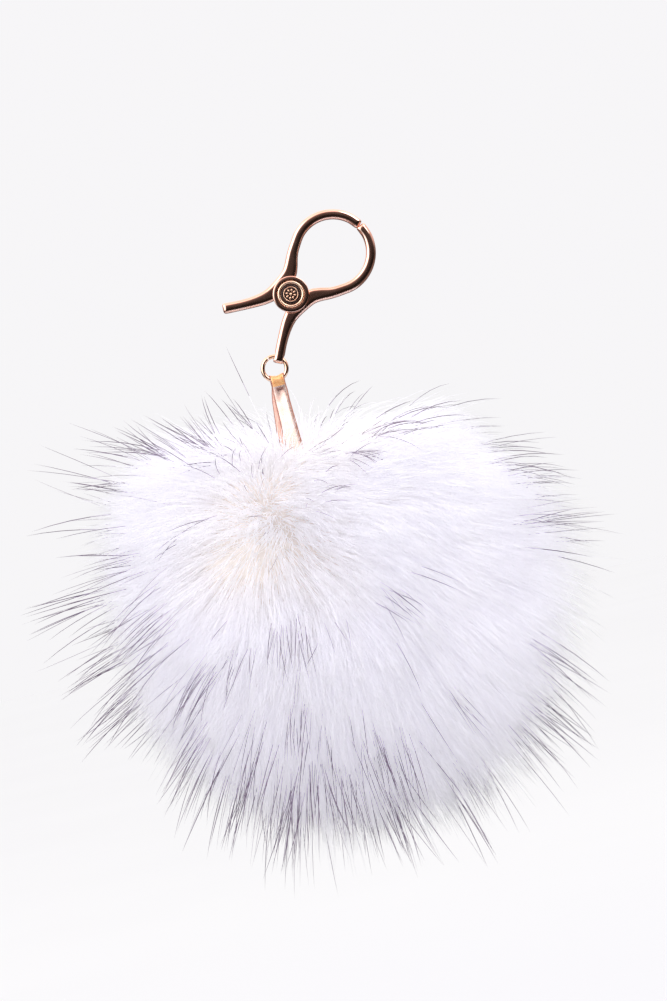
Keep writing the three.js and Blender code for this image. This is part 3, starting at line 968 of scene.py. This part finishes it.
def collar(rng, count=COLLAR_HAIRS, steps=5):
    """Short hairs round the neck, drawn in to the strap by the gathering, that hide where it goes in."""
    polar = np.radians(rng.uniform(8.2, 21, count))
    turn = rng.uniform(0, 2 * math.pi, count)
    roots = about_neck(polar, turn)
    off = BALL_RADIUS * np.sin(polar)
    outward = unit(roots - (roots @ NECK_WAY)[:, None] * NECK_WAY)
    beside = 1 / np.hypot(np.cos(turn) / 3.1, np.sin(turn) / 1.4)
    nearest = beside + 0.55 * np.maximum(off - 3.5, 0) + rng.uniform(0, 0.8, count)
    length = (rng.uniform(3, 5.2, count) + 0.5 * (off - 3.5)) * (1 - 0.15 * np.clip(-outward[:, 1], 0, 1))
    path = []
    for s in np.linspace(0, 1, steps + 1):
        inward = (off - nearest) * math.sin(math.pi * s**0.8) - 1.2 * s * s
        lift = (length * s)[:, None] * NECK_WAY
        path.append(CORE + roots * (BALL_RADIUS - 0.1) + lift - outward * inward[:, None])
    paths = np.stack(path, 1) + 0.5 * np.linspace(0, 1, steps + 1)[:, None] * rng.normal(size=(count, 1, 3))
    strands("fur_collar", paths, [0, 0.10, 0.10, 0.09, 0.07, 0], HAIR_CREAM, 9000, rng)


def tuft_centres(rng):
    """Where the guard hairs stand, how long they are there, and where they stand upright: few on the calm
    front right, many on the upper left and low at the front, short beside the neck and the parting."""
    even = scatter(EVEN_TUFTS, rng, 3.5)
    calm = unit(np.array([0.42, -0.90, 0.18]))
    even = even[(even @ calm < math.cos(0.62)) | (rng.uniform(size=len(even)) < 0.10)]
    crest = unit(np.array([-0.30, -0.36, 0.88]) + 0.22 * rng.normal(size=(CREST_TUFTS, 3)))
    crest = crest[crest @ NECK_WAY < math.cos(2 * NECK_CLEAR)]
    lower = unit(np.array([-0.22, -0.58, -0.60]) + 0.42 * rng.normal(size=(LOWER_TUFTS, 3)))
    parting = unit(WHORL + 0.25 * rng.normal(size=(PARTING_TUFTS, 3)))
    centres = np.vstack([even, crest, lower, parting])
    up = np.clip(centres[:, 2], 0, 1)
    left, right = np.clip(-centres[:, 0], 0, 1), np.clip(centres[:, 0], 0, 1)
    length = 48 + 7 * right - 7 * centres[:, 2] - 12 * up * right + 16 * up * left
    beside_neck = np.exp(-((np.arccos(centres @ NECK_WAY) / 0.5) ** 2))
    length = length - 18 * beside_neck + rng.uniform(-11, 6, len(centres))
    length[-len(parting) :] = rng.uniform(28, 38, len(parting))
    upright = np.zeros(len(centres))
    upright[len(even) : len(even) + len(crest)] = 1
    length = length - 3 * upright
    return centres, length, upright


def guard_hairs(rng):
    """Stiffer, longer hairs in loose tufts, white at the foot, grey and then dark towards the tip."""
    centres, base, upright = tuft_centres(rng)
    size = np.maximum(1, rng.poisson(rng.choice([1, 3, 8], len(centres))))
    owner = np.repeat(np.arange(len(centres)), size)
    roots = unit(centres[owner] + 0.05 * rng.normal(size=(len(owner), 3)))
    length = base[owner] + 3 * rng.normal(size=len(owner))
    steps = 10
    sink, lean = 0.5 - 0.25 * upright, 24 - 15 * upright
    paths = hair_paths(roots, length, steps, rng, 0.07, 0.13, sink[owner], lean[owner])
    middle = hair_paths(centres, base, steps, rng, 0.05, 0.13, sink, lean)[owner]
    s = np.linspace(0, 1, steps + 1)[None, :, None]
    fan = rng.normal(size=(len(owner), 1, 3)) * 4.0 * np.clip(s - 0.4, 0, 1) ** 1.3
    paths = middle + (paths - middle) * (1 - 0.55 * s) + fan
    paths = held_in(paths)
    thick = rng.uniform(0.6, 1.6, len(paths))
    shaft, band, tip = [0, 0.06] + [0.065] * 5, [0.065, 0.075], [0.075, 0.075, 0.055, 0]
    strands("fur_guard_shafts", paths[:, :7], shaft, HAIR_WHITE, 9000, rng, thick)
    strands("fur_guard_bands", paths[:, 6:8], band, HAIR_GREY, 9000, rng, thick)
    strands("fur_guard_tips", paths[:, 7:], tip, HAIR_DARK, 9000, rng, thick)


# ---- Stage ----------------------------------------------------------------------------------

WORLD_EVEN = (0.93, 0.92, 0.935, 1)
AMBIENT_STRENGTH = 1.24
# Levels from straight below (0) to straight above (1).
AMBIENT_LEVELS = ((0.0, 0.42), (0.35, 0.62), (0.5, 0.92), (0.62, 1.0), (0.8, 0.88), (1.0, 0.80))
STUDIO_LEVELS = (
    (0.0, 0.26), (0.30, 0.24), (0.42, 0.10), (0.50, 0.28),
    (0.58, 0.8), (0.72, 1.1), (0.86, 2.4), (1.0, 1.6),
)
# Levels by the cosine to a direction: the dark room in front of the set, and the window beside it.
DARK_WAY, DARK_LEVELS = (0.30, -1.0, -0.16), ((0.0, 1.0), (0.55, 1.0), (0.86, 0.17), (1.0, 0.09))
WINDOW_WAY, WINDOW_LEVELS = (-0.75, -0.62, 0.32), ((0.0, 0.0), (0.80, 0.0), (0.92, 2.0), (1.0, 2.6))


class WorldTree:
    """The world's nodes, with short calls for the ones that repeat."""

    def __init__(self, tree):
        self.tree = tree
        self.place = tree.nodes.new("ShaderNodeTexCoord").outputs["Generated"]
        self.rays = tree.nodes.new("ShaderNodeLightPath")

    def levels(self, source, stops, tint=(1.0, 0.98, 0.97)):
        """A ramp of one tint."""
        ramp = self.tree.nodes.new("ShaderNodeValToRGB")
        elements = ramp.color_ramp.elements
        while len(elements) < len(stops):
            elements.new(0.5)
        for element, (at, level) in zip(elements, stops):
            element.position = at
            element.color = (level * tint[0], level * tint[1], level * tint[2], 1)
        self.tree.links.new(source, ramp.inputs["Fac"])
        return ramp.outputs["Color"]

    def height(self):
        """0 straight below, 1 straight above."""
        split = self.tree.nodes.new("ShaderNodeSeparateXYZ")
        self.tree.links.new(self.place, split.inputs[0])
        height = self.tree.nodes.new("ShaderNodeMapRange")
        height.inputs["From Min"].default_value = -1
        self.tree.links.new(split.outputs["Z"], height.inputs["Value"])
        return height.outputs["Result"]

    def towards(self, way):
        """The cosine to a direction."""
        dot = self.tree.nodes.new("ShaderNodeVectorMath")
        dot.operation = "DOT_PRODUCT"
        dot.inputs[1].default_value = unit(np.array(way))
        self.tree.links.new(self.place, dot.inputs[0])
        return dot.outputs["Value"]

    def blended(self, kind, first, second):
        """Two colours, multiplied or added."""
        mix = self.tree.nodes.new("ShaderNodeMix")
        mix.data_type = "RGBA"
        mix.blend_type = kind
        mix.inputs["Factor"].default_value = 1.0
        self.tree.links.new(first, mix.inputs[MIX_FIRST])
        self.tree.links.new(second, mix.inputs[MIX_SECOND])
        return mix.outputs[MIX_RESULT]

    def background(self, colour):
        made = self.tree.nodes.new("ShaderNodeBackground")
        self.tree.links.new(colour, made.inputs["Color"])
        return made

    def by_ray(self, kind, others, these):
        """One background for rays of a kind, another for the rest."""
        mix = self.tree.nodes.new("ShaderNodeMixShader")
        self.tree.links.new(self.rays.outputs[kind], mix.inputs["Fac"])
        self.tree.links.new(others, mix.inputs[1])
        self.tree.links.new(these, mix.inputs[2])
        return mix.outputs[0]


def world():
    """An even pale surround for the camera and a soft ambient light. What shines sees a studio: bright
    above, a dark line at eye level, the dark room in front of the set and a window beside it."""
    made = bpy.data.worlds.new("studio")
    bpy.context.scene.world = made
    made.use_nodes = True
    nodes = WorldTree(made.node_tree)
    even = made.node_tree.nodes["Background"]
    even.inputs["Color"].default_value = WORLD_EVEN
    height = nodes.height()
    ambient = nodes.background(nodes.levels(height, AMBIENT_LEVELS, (0.97, 0.96, 1.0)))
    ambient.inputs["Strength"].default_value = AMBIENT_STRENGTH
    room = nodes.levels(height, STUDIO_LEVELS)
    dark = nodes.levels(nodes.towards(DARK_WAY), DARK_LEVELS, (1.0, 0.72, 0.66))
    window = nodes.levels(nodes.towards(WINDOW_WAY), WINDOW_LEVELS)
    studio = nodes.background(nodes.blended("ADD", nodes.blended("MULTIPLY", room, dark), window))
    seen = nodes.by_ray("Is Glossy Ray", even.outputs[0], studio.outputs[0])
    lit = nodes.by_ray("Is Diffuse Ray", seen, ambient.outputs[0])
    made.node_tree.links.new(lit, made.node_tree.nodes["World Output"].inputs["Surface"])


def floor():
    """A pale ground far below, with painted shade: darker near the ball, like a soft shadow, and lighter with
    the distance, where less lamp light reaches it, so that it fades into the even surround and no hard
    horizon shows."""
    half, level = 6000.0, CAD_LOW[2] / MM - 160
    corners = [(-half, -half, level), (half, -half, level), (half, half, level), (-half, half, level)]
    piece = mesh_object("floor", corners, [(0, 1, 2, 3)])
    look = Material("floor_painted_shade", Roughness=1.0, Specular_IOR_Level=0.0)
    near = look.ramp(look.noise(0.004, 2), (0.3, (0.895, 0.894, 0.874)), (0.7, (0.905, 0.904, 0.884)))
    # Painted shade: the ground is darker within about 0.3 m of the ball and lighter from 1.5 m on.
    look.colour(look.mixed(look.height(300, 1500), (0.815, 0.812, 0.815), near))
    piece.data.materials.append(look.material)
    piece.visible_glossy = False
    piece.visible_diffuse = False


def lamp(name, place, size, watts, colour, mirrored=True):
    """A soft disc of light that faces the ball. A lamp that isn't mirrored doesn't show in the metal."""
    data = bpy.data.lights.new(name, "AREA")
    data.shape = "DISK"
    data.size = size
    data.energy = watts
    data.color = colour
    made = add_object(name, data)
    made.location = place
    made.rotation_euler = (Vector(CORE * MM) - Vector(place)).to_track_quat("-Z", "Y").to_euler()
    made.visible_glossy = mirrored


def lights():
    lamp("key", (0.75, -0.85, 0.75), 0.9, 6, (1.0, 0.99, 1.0))
    lamp("fill", (-0.9, -0.7, 0.35), 1.1, 3, (1.0, 0.985, 0.97), False)
    lamp("front", (0.1, -1.2, 0.1), 1.3, 3, (1.0, 0.995, 1.0), False)


def camera():
    """Level and square on, rolled so that the ball hangs to the right."""
    roll = math.radians(12.5)
    distance, view_height = 0.9, 0.2744  # metres
    aim = Vector((-14.5, 0, -66.4)) * MM
    data = bpy.data.cameras.new("camera")
    data.sensor_width = 36
    data.lens = data.sensor_width * distance / view_height
    made = add_object("camera", data)
    right = Vector((math.cos(roll), 0, -math.sin(roll)))
    up = Vector((math.sin(roll), 0, math.cos(roll)))
    back = Vector((0, -1, 0))
    place = aim + back * distance
    rows = [[right[i], up[i], back[i], place[i]] for i in range(3)]
    made.matrix_world = Matrix(rows + [[0, 0, 0, 1]])
    bpy.context.scene.camera = made
    bpy.context.scene.view_settings.view_transform = "Standard"


camera()
world()
lights()
floor()

clasp_arms()
hub_bezel()
medallion()
rear_cap()
jump_ring()
hidden_metal()
strap()
strap_stitch()

backing()
stuffing()
gather_thread()
pile_floor()
dice = np.random.default_rng(SEED)
undercoat(dice)
long_pile(dice)
collar(dice)
guard_hairs(dice)
